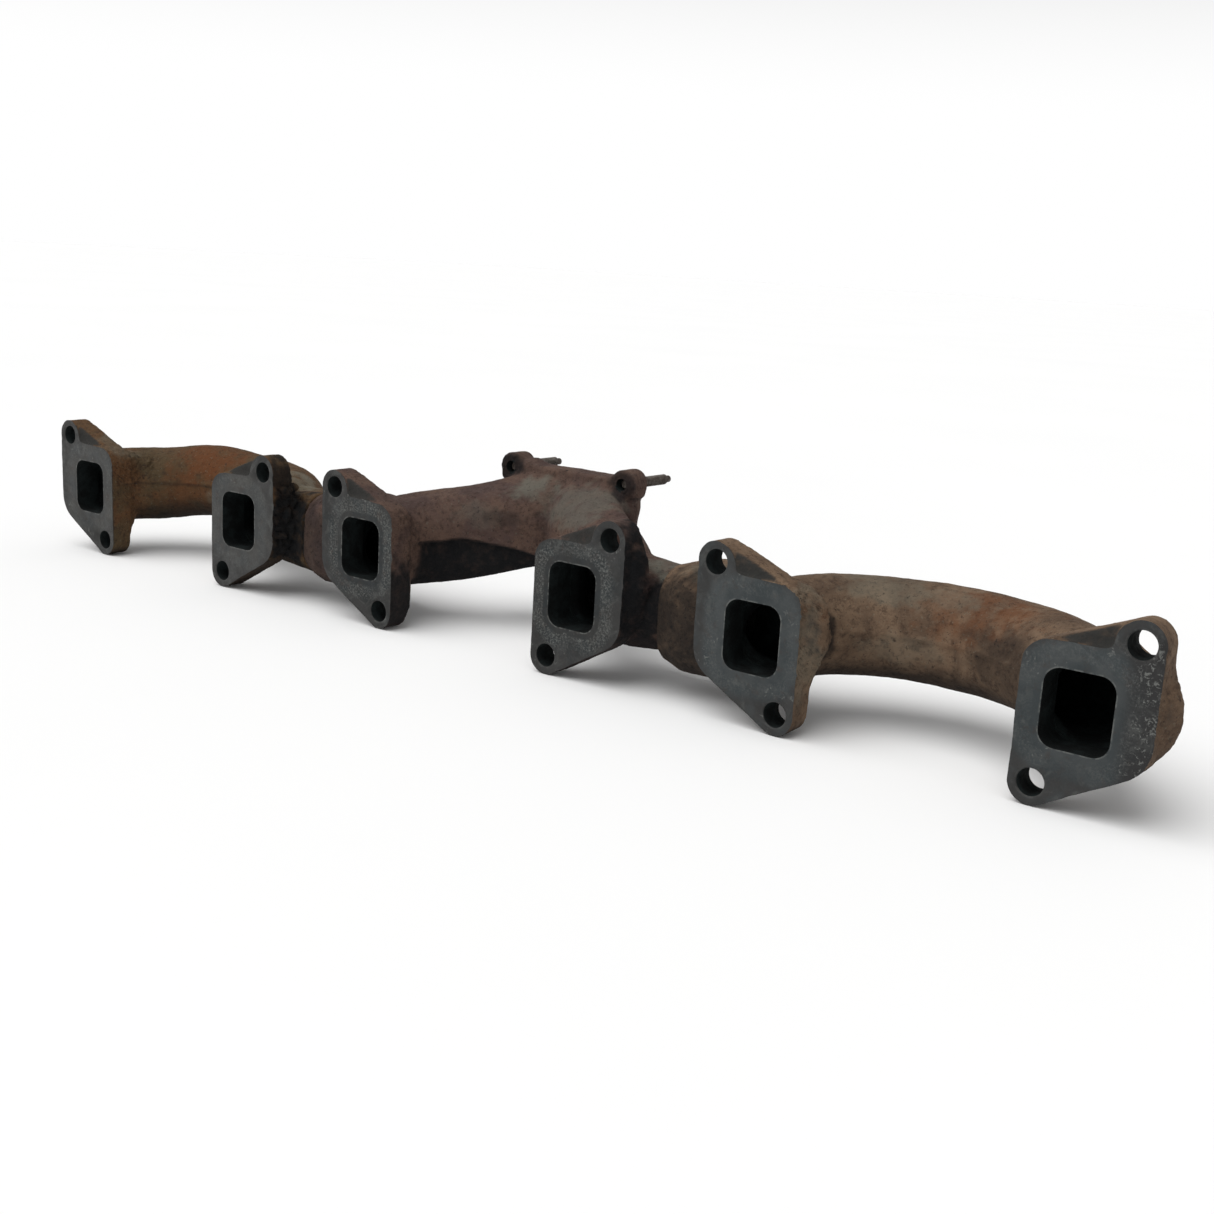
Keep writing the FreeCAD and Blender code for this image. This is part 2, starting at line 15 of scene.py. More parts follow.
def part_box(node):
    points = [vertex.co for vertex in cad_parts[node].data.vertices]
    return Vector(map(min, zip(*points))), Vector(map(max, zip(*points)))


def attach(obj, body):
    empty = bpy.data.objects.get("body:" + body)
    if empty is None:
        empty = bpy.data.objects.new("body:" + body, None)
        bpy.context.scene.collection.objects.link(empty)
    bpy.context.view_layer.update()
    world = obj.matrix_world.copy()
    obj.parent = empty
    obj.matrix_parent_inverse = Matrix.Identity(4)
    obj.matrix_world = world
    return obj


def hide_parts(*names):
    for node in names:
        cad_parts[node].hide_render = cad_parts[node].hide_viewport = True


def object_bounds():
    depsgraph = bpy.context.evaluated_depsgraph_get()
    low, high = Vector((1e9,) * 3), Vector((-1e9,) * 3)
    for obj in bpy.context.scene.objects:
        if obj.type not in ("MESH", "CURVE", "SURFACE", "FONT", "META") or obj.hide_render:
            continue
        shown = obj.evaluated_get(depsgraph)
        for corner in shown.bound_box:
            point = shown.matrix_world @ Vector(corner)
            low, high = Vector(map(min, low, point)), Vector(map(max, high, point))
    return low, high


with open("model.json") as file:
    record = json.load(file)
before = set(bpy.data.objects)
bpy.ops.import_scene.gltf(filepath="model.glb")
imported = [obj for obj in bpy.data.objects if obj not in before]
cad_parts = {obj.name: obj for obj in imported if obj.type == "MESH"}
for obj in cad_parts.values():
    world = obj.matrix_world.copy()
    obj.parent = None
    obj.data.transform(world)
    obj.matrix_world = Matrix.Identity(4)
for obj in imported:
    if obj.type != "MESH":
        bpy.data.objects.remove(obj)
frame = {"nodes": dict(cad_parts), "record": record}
cad_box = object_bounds()

MM = 0.001
VOXEL = 1.15 * MM
STOCK = 3 * MM                    # extra metal cast on a face before it is machined
PAD_RISE = 1.5 * MM               # machined pad above the cast flange
FILLET = 7 * MM                   # cast fillets in hollows
EDGE_ROUNDING = 1.5 * MM          # cast outer edges
RELAX_STEPS = 36

# ---------------------------------------------------------------- places, from the frame

openings = {opening["name"]: opening["box_m"] for opening in frame["record"]["physics"]["openings"]}
mounts = {mount["name"]: mount for mount in frame["record"]["mounts"]}


def port_place(number):
    low, high = (Vector(corner) for corner in openings[f"port_{number}_mouth"])
    return Vector(((low.x + high.x) / 2, FACE_Y, (low.z + high.z) / 2))


FACE_Y = mounts["port_1_face"]["pos_m"][1]
TURBO_Y = mounts["turbo_face"]["pos_m"][1]
PORTS = {number: port_place(number) for number in range(1, 7)}
HANDS = {1: -1, 2: 1, 3: -1, 4: 1, 5: -1, 6: 1}      # side of each flange's upper bolt
UPPER_BOLT = (20.3 * MM, 29.6 * MM)
LOWER_BOLT = (-14.2 * MM, -30.6 * MM)
BOLT_RADIUS = mounts["port_1_bolts"]["dims"]["hole_r_mm"] * MM
FLANGE_THICK = 13 * MM
PORT_HALF = (13.75 * MM, 15.5 * MM)
PORT_CORNER = 6.5 * MM
PORT_DEPTH = 20 * MM

FRONT_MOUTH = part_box("centre_section")[0].x
REAR_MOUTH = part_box("rear_section")[0].x
JOINT_Y = FACE_Y + 35 * MM
JOINT_Z = PORTS[1].z - 4 * MM
SEAM_GAP = 1.5 * MM
SPIGOT_RADIUS = 19 * MM
SPIGOT_LENGTH = 24 * MM
SOCKET_RADIUS = 19.5 * MM
SOCKET_DEPTH = 28 * MM
GAS_RADIUS = 14 * MM
GROOVES = (8 * MM, 16 * MM)
GROOVE_WIDTH = 3.1 * MM
GROOVE_FLOOR = 16.9 * MM

STUD_SIDE = mounts["turbo_studs"]["dims"]["spacing_x_mm"] / 2 * MM
STUD_RISE = mounts["turbo_studs"]["dims"]["spacing_y_mm"] / 2 * MM
STUD_RADIUS = mounts["turbo_studs"]["dims"]["stud_r_mm"] * MM
TAP_RADIUS = 3 * MM
PLATE_THICK = 12 * MM

# How far the machining reaches.
FACING_CUT = 9 * MM               # in front of a face
BOLT_SEAT_RADIUS = 9.3 * MM       # spot face behind a flange
BOLT_SEAT_DEPTH = 0.3 * MM
BOLT_CHAMFER = 0.5 * MM
BORE_CLEARANCE = 0.05 * MM
TAP_CLEARANCE = 0.03 * MM
SOCKET_FACE_RADIUS = 27 * MM      # round a socket's mouth
SHOULDER_RADIUS = 25 * MM         # round a spigot
TURNED_REACH = 34 * MM            # along a joint, from its mouth
PORT_PLUG = 2 * MM                # wider than the port that is cut through it
BOLT_PLUG_RADIUS = 7 * MM
STUD_PLUG_RADIUS = 4.5 * MM

ALONG_X = Vector((1, 0, 0))
ALONG_Y = Vector((0, 1, 0))


def beside(number, x, y, z):
    """A point given in millimetres from the middle of a port's mouth."""
    return PORTS[number] + Vector((x, y, z)) * MM


def bolt_places(number):
    sides = (UPPER_BOLT, LOWER_BOLT)
    return [PORTS[number] + Vector((side * HANDS[number], 0, rise)) for side, rise in sides]


# ---------------------------------------------------------------- mesh tools

def points_of(mesh):
    flat = np.empty(len(mesh.vertices) * 3)
    mesh.vertices.foreach_get("co", flat)
    return flat.reshape(-1, 3)


def set_points(mesh, points):
    mesh.vertices.foreach_set("co", points.ravel())
    mesh.update()


def normals_of(mesh):
    flat = np.empty(len(mesh.vertices) * 3)
    mesh.vertex_normals.foreach_get("vector", flat)
    return flat.reshape(-1, 3)


def new_piece(name, mesh):
    piece = bpy.data.objects.new(name, mesh)
    bpy.context.scene.collection.objects.link(piece)
    return piece


def apply_modifiers(piece):
    depsgraph = bpy.context.evaluated_depsgraph_get()
    mesh = bpy.data.meshes.new_from_object(piece.evaluated_get(depsgraph))
    old = piece.data
    piece.modifiers.clear()
    piece.data = mesh
    bpy.data.meshes.remove(old)


def noise_at(points, size, seed):
    """Smooth noise from about -1 to 1, with features of that size."""
    shift = np.array([3.71, 1.37, 2.19]) * seed
    return np.array([noise.noise(point) for point in (points / size + shift).tolist()])


def smoothstep(values, start, end):
    part = np.clip((values - start) / (end - start), 0, 1)
    return part * part * (3 - 2 * part)


def relax(mesh, steps, fillet, edge):
    """Rounds hollows towards the fillet radius and outer edges towards the edge radius."""
    points = points_of(mesh)
    ends = np.empty(len(mesh.edges) * 2, np.int32)
    mesh.edges.foreach_get("vertices", ends)
    one, two = ends.reshape(-1, 2).T
    count = len(points)
    degree = np.bincount(ends, minlength=count)[:, None]
    spacing = np.mean(np.linalg.norm(points[one] - points[two], axis=1))
    hollow_limit = spacing ** 2 / (4 * fillet)
    edge_limit = spacing ** 2 / (4 * edge)
    for _ in range(steps):
        near = np.stack([np.bincount(one, points[two, i], count) + np.bincount(two, points[one, i], count)
                         for i in range(3)], axis=1)
        pull = near / degree - points
        normals = normals_of(mesh)
        rise = np.sum(pull * normals, axis=1, keepdims=True)
        along = pull - normals * rise
        move = np.where(rise > hollow_limit, rise - hollow_limit, np.minimum(rise + edge_limit, 0))
        points += 0.8 * normals * move + 0.4 * along
        set_points(mesh, points)


# ---------------------------------------------------------------- solids that cut or fill

def turned(profile, origin, axis, closed=False, segments=72):
    """Mesh turned about an axis from (along, radius) points; a closed profile makes a tube."""
    made = bmesh.new()
    side = axis.orthogonal().normalized()
    up = axis.cross(side)
    rings = []
    for along, radius in profile:
        centre = origin + axis * along
        if radius == 0:
            rings.append([made.verts.new(centre)])
            continue
        ring = []
        for k in range(segments):
            angle = math.tau * k / segments
            ring.append(made.verts.new(centre + (side * math.cos(angle) + up * math.sin(angle)) * radius))
        rings.append(ring)
    pairs = list(zip(rings, rings[1:]))
    if closed:
        pairs.append((rings[-1], rings[0]))
    for low, high in pairs:
        for k in range(segments):
            n = (k + 1) % segments
            corners = [low[k % len(low)], low[n % len(low)], high[n % len(high)], high[k % len(high)]]
            made.faces.new(list(dict.fromkeys(corners)))
    return finished(made)


def prism(outline, start, end):
    """Mesh of an outline of (x, z) points, carried along Y from start to end."""
    made = bmesh.new()
    low, high = ([made.verts.new((x, y, z)) for x, z in outline] for y in (start, end))
    made.faces.new(low)
    made.faces.new(high)
    for k in range(len(outline)):
        n = (k + 1) % len(outline)
        made.faces.new([low[k], low[n], high[n], high[k]])
    return finished(made)


def finished(made):
    bmesh.ops.recalc_face_normals(made, faces=made.faces)
    mesh = bpy.data.meshes.new("shape")
    made.to_mesh(mesh)
    made.free()
    return mesh


def rounded_outline(x, z, half_width, half_height, corner, steps=8):
    outline = []
    for quarter in range(4):
        sx, sz = ((1, 1), (-1, 1), (-1, -1), (1, -1))[quarter]
        for k in range(steps + 1):
            angle = math.pi / 2 * (quarter + k / steps)
            outline.append((x + sx * (half_width - corner) + corner * math.cos(angle),
                            z + sz * (half_height - corner) + corner * math.sin(angle)))
    return outline


def box_outline(low, high):
    return [(low[0], low[1]), (high[0], low[1]), (high[0], high[1]), (low[0], high[1])]


def joined(meshes):
    made = bmesh.new()
    for mesh in meshes:
        made.from_mesh(mesh)
        bpy.data.meshes.remove(mesh)
    mesh = bpy.data.meshes.new("shapes")
    made.to_mesh(mesh)
    made.free()
    return mesh


def combine(piece, meshes, operation):
    """Adds to or cuts from the piece the given solids, which don't touch each other."""
    tool = new_piece("tool", joined(meshes))
    before = len(piece.data.vertices)
    modifier = piece.modifiers.new("combine", "BOOLEAN")
    modifier.operation = operation
    modifier.solver = "MANIFOLD"
    modifier.object = tool
    apply_modifiers(piece)
    bpy.data.objects.remove(tool)
    if len(piece.data.vertices) in (0, before):
        raise RuntimeError(f"{piece.name}: the {operation} did nothing")


# ---------------------------------------------------------------- casting, then machining

def cast_blank(node):
    """The node's shape with stock on its machined faces, as one even mesh with cast fillets.

    The flange below each port is brought level with the pad, so facing takes it in.
    """
    mesh = frame["nodes"][node].data.copy()
    made = bmesh.new()
    made.from_mesh(mesh)
    bmesh.ops.remove_doubles(made, verts=made.verts, dist=0.001 * MM)
    for vert in made.verts:
        below_port = vert.co.z < PORTS[1].z
        if abs(vert.co.y - FACE_Y) < 0.01 * MM:
            vert.co.y -= STOCK
        elif abs(vert.co.y - FACE_Y - PAD_RISE) < 0.01 * MM and below_port:
            vert.co.y -= PAD_RISE + STOCK
        elif abs(vert.co.y - TURBO_Y) < 0.01 * MM:
            vert.co.y += STOCK
    made.to_mesh(mesh)
    made.free()
    piece = new_piece(f"{node.removesuffix('_section')}_casting", mesh)
    modifier = piece.modifiers.new("even", "REMESH")
    modifier.mode = "VOXEL"
    modifier.voxel_size = VOXEL
    apply_modifiers(piece)
    relax(piece.data, RELAX_STEPS, FILLET, EDGE_ROUNDING)
    return piece


def joint_radius(points):
    """Distance of each point from the axis of the slip joints."""
    return np.hypot(points[:, 1] - JOINT_Y, points[:, 2] - JOINT_Z)


def patch_strength(points, centre, reach, seed, ragged=0.45):
    """From 1 inside a ragged ellipsoid to 0 outside it."""
    distance = np.linalg.norm((points - np.array(centre)) / (np.array(reach) * MM), axis=1)
    near = distance < 1.8
    strength = np.zeros(len(points))
    broken = noise_at(points[near], 7 * MM, seed) + 0.5 * noise_at(points[near], 2.6 * MM, seed + 9)
    strength[near] = 1 - smoothstep(distance[near] + ragged * broken, 0.6, 1.15)
    return strength


def roughen(piece, seed):
    """Swellings, sand-cast skin, flaky crust and parting lines."""
    mesh = piece.data
    points = points_of(mesh)
    for centre, reach, offset in PUSHES[piece.name]:
        distance = np.linalg.norm((points - np.array(centre)) / (np.array(reach) * MM), axis=1)
        points += (1 - smoothstep(distance, 0.15, 1))[:, None] * np.array(offset) * MM
    set_points(mesh, points)
    normals = normals_of(mesh)
    out = np.zeros(len(points))
    for step, (height, size) in enumerate(SKIN_WAVES):
        out += height * MM * noise_at(points, size * MM, seed + step)
    for centre, reach, height, size in CRUSTS[piece.name]:
        strength = patch_strength(points, centre, reach, seed)
        near = strength > 0
        scales = np.abs(noise_at(points[near], size * MM, seed + 3))
        scales += 0.5 * np.abs(noise_at(points[near], size / 2 * MM, seed + 4))
        out[near] += height * MM * strength[near] * (scales - 0.25)
    out += parting_lines(piece.name, points, normals, seed)
    turned_zone = joint_radius(points) < SOCKET_RADIUS + 0.8 * MM
    from_mouth = np.minimum(*(np.abs(points[:, 0] - mouth) for mouth in (FRONT_MOUTH, REAR_MOUTH)))
    out[turned_zone & (from_mouth < TURNED_REACH)] = 0
    set_points(mesh, points + normals * out[:, None])


def ridge(distance, half_width):
    return np.exp(-(distance / half_width) ** 2)


def runner_line(points, seed):
    """Height of the twin runners' parting line, and how far a point counts as on the runners."""
    x, y = points[:, 0], points[:, 1]
    line = RUNNER_LINE_Z - RUNNER_LINE_SAG * ((x - RUNNER_LINE_TOP) / (36 * MM)) ** 2
    line += 0.8 * MM * noise_at(points, 14 * MM, seed + 6)
    on_runner = smoothstep(y, FACE_Y + 15 * MM, FACE_Y + 19 * MM) * smoothstep(-np.abs(x), -84 * MM, -74 * MM)
    return line, on_runner * (1 - smoothstep(y, TURBO_Y - 20 * MM, TURBO_Y - 14 * MM))


def arch_line(name, points, seed):
    """Height of an arched tube's parting line, and how far a point counts as on the tube."""
    y = points[:, 1]
    line = PORTS[1].z + ARCH_LINE_RISE[name] + (y - FACE_Y - FLANGE_THICK) * math.tan(ARCH_TILT)
    line += 0.5 * MM * noise_at(points, 22 * MM, seed + 6)
    start = FACE_Y + ARCH_LINE_START[name]
    return line, smoothstep(y, start, start + 5 * MM)


def parting_lines(name, points, normals, seed):
    """Flash left where the two halves of the mould met."""
    z = points[:, 2]
    broken = 0.65 + 0.5 * noise_at(points, 9 * MM, seed + 5)
    side_on = 1 - np.abs(normals[:, 2])
    if name == "centre_casting":
        line, on_runner = runner_line(points, seed)
        below = smoothstep(line - z, -0.3 * MM, 1.6 * MM) * smoothstep(-normals[:, 1], -0.3, 0.3) * side_on
        return on_runner * (0.8 * MM * broken * ridge(z - line, 1.2 * MM) * side_on - 2.6 * MM * below)
    line, on_tube = arch_line(name, points, seed)
    return on_tube * 1.1 * MM * broken * ridge(z - line, 1.0 * MM) * side_on


def flange_cuts(number):
    """Plugs for a flange's cast holes, and the port and bolt holes to cut through them."""
    port = PORTS[number]
    (half_width, half_height), wider = PORT_HALF, PORT_PLUG
    plug = rounded_outline(port.x, port.z, half_width + wider, half_height + wider, PORT_CORNER + wider)
    opening = rounded_outline(port.x, port.z, half_width, half_height, PORT_CORNER)
    plugs = [prism(plug, FACE_Y - 1 * MM, FACE_Y + PORT_DEPTH - 5 * MM)]
    holes = [prism(opening, FACE_Y - 2 * MM, FACE_Y + PORT_DEPTH - 4 * MM)]
    seat = FLANGE_THICK - BOLT_SEAT_DEPTH
    back = seat + 0.4 * MM
    mouth_radius = BOLT_RADIUS + 2.4 * MM
    for place in bolt_places(number):
        plugs.append(turned([(-MM, 0), (-MM, BOLT_PLUG_RADIUS), (back, BOLT_PLUG_RADIUS), (back, 0)],
                            place, ALONG_Y))
        holes.append(turned([(-2 * MM, 0), (-2 * MM, mouth_radius), (BOLT_CHAMFER, BOLT_RADIUS),
                             (seat, BOLT_RADIUS), (seat, BOLT_SEAT_RADIUS), (2 * seat, BOLT_SEAT_RADIUS),
                             (2 * seat, 0)], place, ALONG_Y))
    return plugs, holes


def stud_cuts():
    """Plugs and tapped holes for the turbocharger studs."""
    plugs, holes = [], []
    tapped = TAP_RADIUS + TAP_CLEARANCE
    inner_end = -PLATE_THICK - 3 * MM
    for x in (-STUD_SIDE, STUD_SIDE):
        for z in (-STUD_RISE, STUD_RISE):
            place = Vector((x, TURBO_Y, z))
            plugs.append(turned([(-PLATE_THICK, 0), (-PLATE_THICK, STUD_PLUG_RADIUS), (MM, STUD_PLUG_RADIUS),
                                 (MM, 0)], place, ALONG_Y))
            holes.append(turned([(inner_end, 0), (inner_end, tapped + 1.2 * MM),
                                 (-PLATE_THICK + 0.4 * MM, tapped), (2 * MM, tapped), (2 * MM, 0)],
                                place, ALONG_Y))
    return plugs, holes


def socket_cut(mouth):
    """The socket's bore, with its mouth faced and chamfered."""
    bore = SOCKET_RADIUS + BORE_CLEARANCE
    bottom = SOCKET_DEPTH + 2 * MM
    profile = [(-3 * MM, 0), (-3 * MM, SOCKET_FACE_RADIUS), (0, SOCKET_FACE_RADIUS), (0, bore + 1 * MM),
               (1 * MM, bore), (SOCKET_DEPTH, bore), (bottom, GAS_RADIUS), (bottom, 0)]
    return turned(profile, Vector((mouth, JOINT_Y, JOINT_Z)), ALONG_X)


def machine(piece, ports, spigot_mouth, socket_mouth):
    """Plugs the cast holes, faces the flanges, then drills and bores them at their true sizes."""
    low, high = (Vector(corner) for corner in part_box(piece.name.replace("casting", "section")))
    plugs, holes = [], []
    for number in ports:
        flange_plugs, flange_holes = flange_cuts(number)
        plugs += flange_plugs
        holes += flange_holes
    if socket_mouth is not None:
        holes.append(socket_cut(socket_mouth))
    wide = box_outline((low.x - MM, low.z - MM), (high.x + MM, high.z + MM))
    faces = [prism(wide, FACE_Y - FACING_CUT, FACE_Y)]
    if piece.name == "centre_casting":
        stud_plugs, stud_holes = stud_cuts()
        plugs += stud_plugs
        holes += stud_holes
        faces.append(prism(box_outline((low.x, low.z), (high.x, high.z + MM)), TURBO_Y, TURBO_Y + FACING_CUT))
    combine(piece, plugs, "UNION")
    combine(piece, faces, "DIFFERENCE")
    combine(piece, holes, "DIFFERENCE")
    if spigot_mouth is not None:
        shoulder = Vector((spigot_mouth - SEAM_GAP, JOINT_Y, JOINT_Z))
        reach = SPIGOT_LENGTH + FACING_CUT
        profile = [(0, 0), (0, SHOULDER_RADIUS), (reach, SHOULDER_RADIUS), (reach, 0)]
        combine(piece, [turned(profile, shoulder, ALONG_X)], "DIFFERENCE")
        combine(piece, [spigot(spigot_mouth)], "UNION")


def spigot(mouth):
    """Turned end with its two ring grooves."""
    end = SPIGOT_LENGTH
    profile = [(-SEAM_GAP - MM, GAS_RADIUS), (-SEAM_GAP - MM, SPIGOT_RADIUS)]
    for start in GROOVES:
        stop = start + GROOVE_WIDTH
        profile += [(start, SPIGOT_RADIUS), (start, GROOVE_FLOOR)]
        profile += [(stop, GROOVE_FLOOR), (stop, SPIGOT_RADIUS)]
    profile += [(end - MM, SPIGOT_RADIUS), (end, SPIGOT_RADIUS - 0.8 * MM), (end, GAS_RADIUS)]
    return turned(profile, Vector((mouth, JOINT_Y, JOINT_Z)), ALONG_X, closed=True, segments=96)


# ---------------------------------------------------------------- which face is what

SKIN, MACHINED, WAY = range(3)


def centres_of(mesh):
    flat = np.empty(len(mesh.polygons) * 3)
    mesh.polygons.foreach_get("center", flat)
    return flat.reshape(-1, 3)


def spread(mesh, seeds, blocked):
    """Faces joined to the seeds without crossing a blocked face."""
    edges = np.empty(len(mesh.loops), np.int32)
    mesh.loops.foreach_get("edge_index", edges)
    sizes = np.empty(len(mesh.polygons), np.int32)
    mesh.polygons.foreach_get("loop_total", sizes)
    faces = np.repeat(np.arange(len(sizes)), sizes)
    order = np.argsort(edges, kind="stable")
    same = edges[order[:-1]] == edges[order[1:]]
    one, two = faces[order[:-1][same]], faces[order[1:][same]]
    free = ~(blocked[one] | blocked[two])
    one, two = one[free], two[free]
    reached = seeds & ~blocked
    while True:
        front = reached[one] != reached[two]
        if not front.any():
            return reached
        reached[one[front]] = True
        reached[two[front]] = True


def sort_faces(piece, ports, spigot_mouth, socket_mouth):
    """Gives each face its slot: cast skin, machined metal or sooty gas way."""
    mesh = piece.data
    centres = centres_of(mesh)
    x, y, z = centres.T
    slack = 0.02 * MM
    flat = np.abs(y - FACE_Y) < slack
    holes = np.zeros(len(x), bool)
    if piece.name == "centre_casting":
        flat |= np.abs(y - TURBO_Y) < slack
        from_stud = np.hypot(np.abs(x) - STUD_SIDE, np.abs(z) - STUD_RISE)
        holes = (from_stud < TAP_RADIUS + 0.8 * MM) & (y > TURBO_Y - PLATE_THICK - 1 * MM)
    machined = flat.copy()
    radius = joint_radius(centres)
    wall = GAS_RADIUS + 0.3 * MM
    if spigot_mouth is not None:
        machined |= (x > spigot_mouth - SEAM_GAP - slack) & (radius > wall) & (radius < SHOULDER_RADIUS)
    if socket_mouth is not None:
        in_bore = (x > socket_mouth - slack) & (x < socket_mouth + SOCKET_DEPTH + 2.1 * MM)
        machined |= in_bore & (radius > GAS_RADIUS - slack) & (radius < SOCKET_RADIUS + 0.3 * MM)
    seeds = np.zeros(len(x), bool)
    for number in ports:
        port = PORTS[number]
        inside = (np.abs(x - port.x) < PORT_HALF[0] + slack) & (np.abs(z - port.z) < PORT_HALF[1] + slack)
        seeds |= inside & (y > FACE_Y + 1 * MM) & (y < FACE_Y + PORT_DEPTH - 5 * MM)
        for place in bolt_places(number):
            in_hole = np.hypot(x - place.x, z - place.z) < BOLT_RADIUS + 0.8 * MM
            machined |= in_hole & (y < FACE_Y + 0.6 * MM)
            holes |= in_hole & (y > FACE_Y + 0.6 * MM) & (y < FACE_Y + FLANGE_THICK - 0.5 * MM)
    slots = np.full(len(x), SKIN)
    slots[machined] = MACHINED
    slots[spread(mesh, seeds, machined) | holes] = WAY
    mesh.polygons.foreach_set("material_index", slots.astype(np.int32))
    mesh.polygons.foreach_set("use_smooth", ~flat)
    mesh.set_sharp_from_angle(angle=math.radians(48))


# ---------------------------------------------------------------- lines, swellings, crusts, stains and painted shade

# Parting line of an arched tube: its slope, height above the ports, start behind the face and dark shadow.
ARCH_TILT = math.radians(2.3)
ARCH_LINE_RISE = {"front_casting": 5 * MM, "rear_casting": 2.5 * MM}
ARCH_LINE_START = {"front_casting": 5 * MM, "rear_casting": 17 * MM}
ARCH_LINE_DARK = {"front_casting": 0.45, "rear_casting": 0.1}
EARS = [Vector((side, TURBO_Y - PLATE_THICK, STUD_RISE)) for side in (-STUD_SIDE, STUD_SIDE)]
RUNNER_LINE_TOP = -36 * MM        # X where the runner's parting line is highest
RUNNER_LINE_Z = -11 * MM
RUNNER_LINE_SAG = 8 * MM

# Where a casting swells or shrinks from its drawn shape: centre, reach and push, the last two in millimetres.
PLATE_PUSHES = [(Vector((side * 41, -6, rise * 13)) * MM, (8, 12, 12), (side * 5, 0, 0))
                for side in (-1, 1) for rise in (-1, 1)]
PLATE_PUSHES += [(Vector((side * 40, -6, 0)) * MM, (8, 12, 16), (side * 2.5, 0, 0)) for side in (-1, 1)]
PUSHES = {
    "front_casting": [
        (beside(1, 52, 44, 0), (40, 50, 90), (0, 0, 4.5)),
        (beside(1, 17, 22, 14), (12, 14, 13), (4.5, 2, 1.5)),
        (beside(2, 27, 14, 2), (10, 14, 24), (2.5, 0, 0)),
    ],
    "centre_casting": [
        (beside(3, 27, 20, -22), (15, 20, 15), (2, 0, -5)),
        (beside(3, 26, 26, 24), (14, 16, 13), (0, 0, -3)),
        (beside(4, 28, 13, 10), (12, 12, 26), (5, 0, 1)),
        (EARS[0] + Vector((11, 7, 1)) * MM, (9, 9, 9), (0, 0, 3)),
        *PLATE_PUSHES,
    ],
    "rear_casting": [
        (beside(6, 29, 13, 3), (13, 12, 20), (5.5, 0, 0)),
        (beside(5, 23, 13, 6), (14, 13, 28), (6.5, 0, 0)),
    ],
}
# Waves of the sand-cast skin: height and size in millimetres.
SKIN_WAVES = [(0.30, 17), (0.16, 5), (0.10, 2.4)]
# Crusts and rough skin: centre, reach, height and size of the scales, the last three in millimetres.
CRUSTS = {
    "front_casting": [
        (beside(2, 28, 12, 4), (8, 16, 28), 4.2, 5.0),
        (beside(1, 22, 12, 14), (14, 18, 22), 1.8, 2.4),
    ],
    "centre_casting": [
        (beside(3, 25, 14, 8), (12, 18, 22), 1.8, 3.4),
        (beside(4, 29, 12, 10), (10, 14, 26), 1.4, 2.8),
        (beside(3, -40, 20, 0), (24, 16, 26), 1.2, 3.0),
    ],
    "rear_casting": [
        (beside(5, 26, 12, 8), (14, 16, 26), 1.3, 2.4),
        (beside(6, 31, 10, 0), (9, 16, 30), 0.5, 3.0),
        (beside(5, 22, 8, 26), (16, 16, 12), 1.1, 2.4),
    ],
}
# Stains and painted shade: centre, reach in millimetres and amount. Under "dark", some places are soot and
# crust and some are painted shadow beside the flanges.
STAINS_AND_SHADE = {
    "orange": {
        "front_casting": [
            (beside(1, 56, 50, 18), (34, 24, 14), 0.95),
            (beside(1, 42, 42, 12), (18, 14, 10), 0.8),
            (beside(1, 24, 8, 0), (20, 16, 22), 0.3),
            (beside(1, 50, 36, -2), (30, 16, 13), 0.45),
        ],
        "centre_casting": [
            (beside(4, 8, 22, 26), (18, 14, 10), 0.3),
        ],
        "rear_casting": [
            (beside(5, 82, 50, 18), (34, 22, 11), 0.75),
            (beside(5, 70, 44, 9), (13, 10, 7), 0.6),
            (beside(5, 22, 8, 16), (12, 12, 12), 0.3),
        ],
    },
    "pale": {
        "front_casting": [
            (beside(2, 6, 40, 19), (22, 15, 10), 0.7),
            (beside(1, 12, 12, 26), (14, 14, 10), 0.4),
            (beside(1, 70, 44, -4), (12, 12, 9), 0.3),
        ],
        "centre_casting": [
            (beside(3, 57, 69, 33), (13, 12, 9), 0.7),
            (beside(4, -46, 60, 30), (26, 22, 15), 0.5),
            (beside(4, 32, 30, 17), (14, 12, 9), 0.8),
            (beside(3, 40, 40, 20), (16, 14, 8), 0.25),
        ],
        "rear_casting": [
            (beside(5, 36, 49, 21), (26, 15, 7), 0.42),
            (beside(5, 64, 54, 22), (14, 8, 6), 0.35),
            (beside(5, -34, 22, 20), (16, 14, 8), 0.5),
            (beside(5, 50, 40, -2), (20, 10, 8), 0.25),
            (beside(5, 21, 7, 2), (8, 14, 32), 0.45),
        ],
    },
    "dark": {
        "front_casting": [
            (beside(2, 29, 12, 0), (13, 20, 30), 1.0),
            (beside(2, 26, 8, 24), (13, 12, 20), 0.85),
            (beside(2, 24, 20, -14), (16, 22, 14), 0.8),
        ],
        "centre_casting": [
            (beside(4, 32, 14, -2), (13, 11, 24), 1.0),
            (beside(4, 31, 20, -20), (10, 20, 14), 0.9),
            (beside(4, 28, 7, 6), (13, 13, 42), 1.0),
            (beside(3, 48, 55, 18), (16, 9, 4), 0.45),
            (beside(3, 26, 6, -24), (11, 18, 24), 0.95),
            (beside(3, -44, 14, -4), (24, 14, 26), 0.5),
            (EARS[0], (9, 5, 9), 0.85),
            (EARS[1], (9, 5, 9), 0.75),
        ],
        "rear_casting": [
            # Painted shadow on the tube just behind flange 5.
            (beside(5, 23, 19, -2), (6, 9, 26), 0.8),
            (beside(5, -44, 10, -6), (34, 16, 28), 0.82),
            (beside(5, -40, 8, -22), (36, 16, 13), 0.9),
            # Painted shade on the tube towards flange 6.
            (beside(5, 96, 36, 0), (22, 16, 18), 0.5),
            (beside(5, 60, 36, -22), (46, 26, 7), 0.4),
        ],
    },
}


